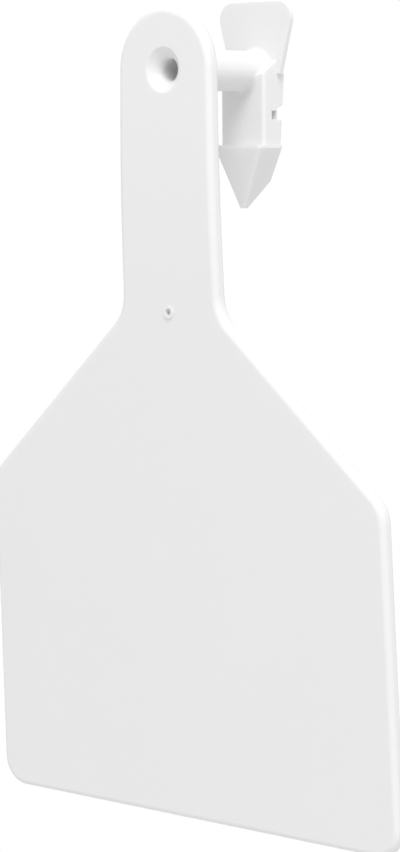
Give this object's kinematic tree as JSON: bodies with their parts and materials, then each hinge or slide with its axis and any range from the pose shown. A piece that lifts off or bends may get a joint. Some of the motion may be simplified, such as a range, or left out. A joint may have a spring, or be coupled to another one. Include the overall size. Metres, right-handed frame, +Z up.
{
  "type": "livestock ear tag",
  "caption": "One-piece livestock ear tag: flat wide panel on a narrow neck, with a hollow post at the neck's end that carries a thin fin and a barbed arrow head.",
  "frame": {"origin": "on the post's axis, at the back face of the neck", "axes": "+Y back along the post towards the head, +Z up along the neck away from the panel, +X to the right seen from the front"},
  "size_m": [0.076, 0.0209, 0.1155],
  "materials": {
    "tag_plastic": "flexible white plastic, satin, fine moulded texture"
  },
  "bodies": {
    "root": {"ear_tag": "tag_plastic"}
  },
  "joints": []
}
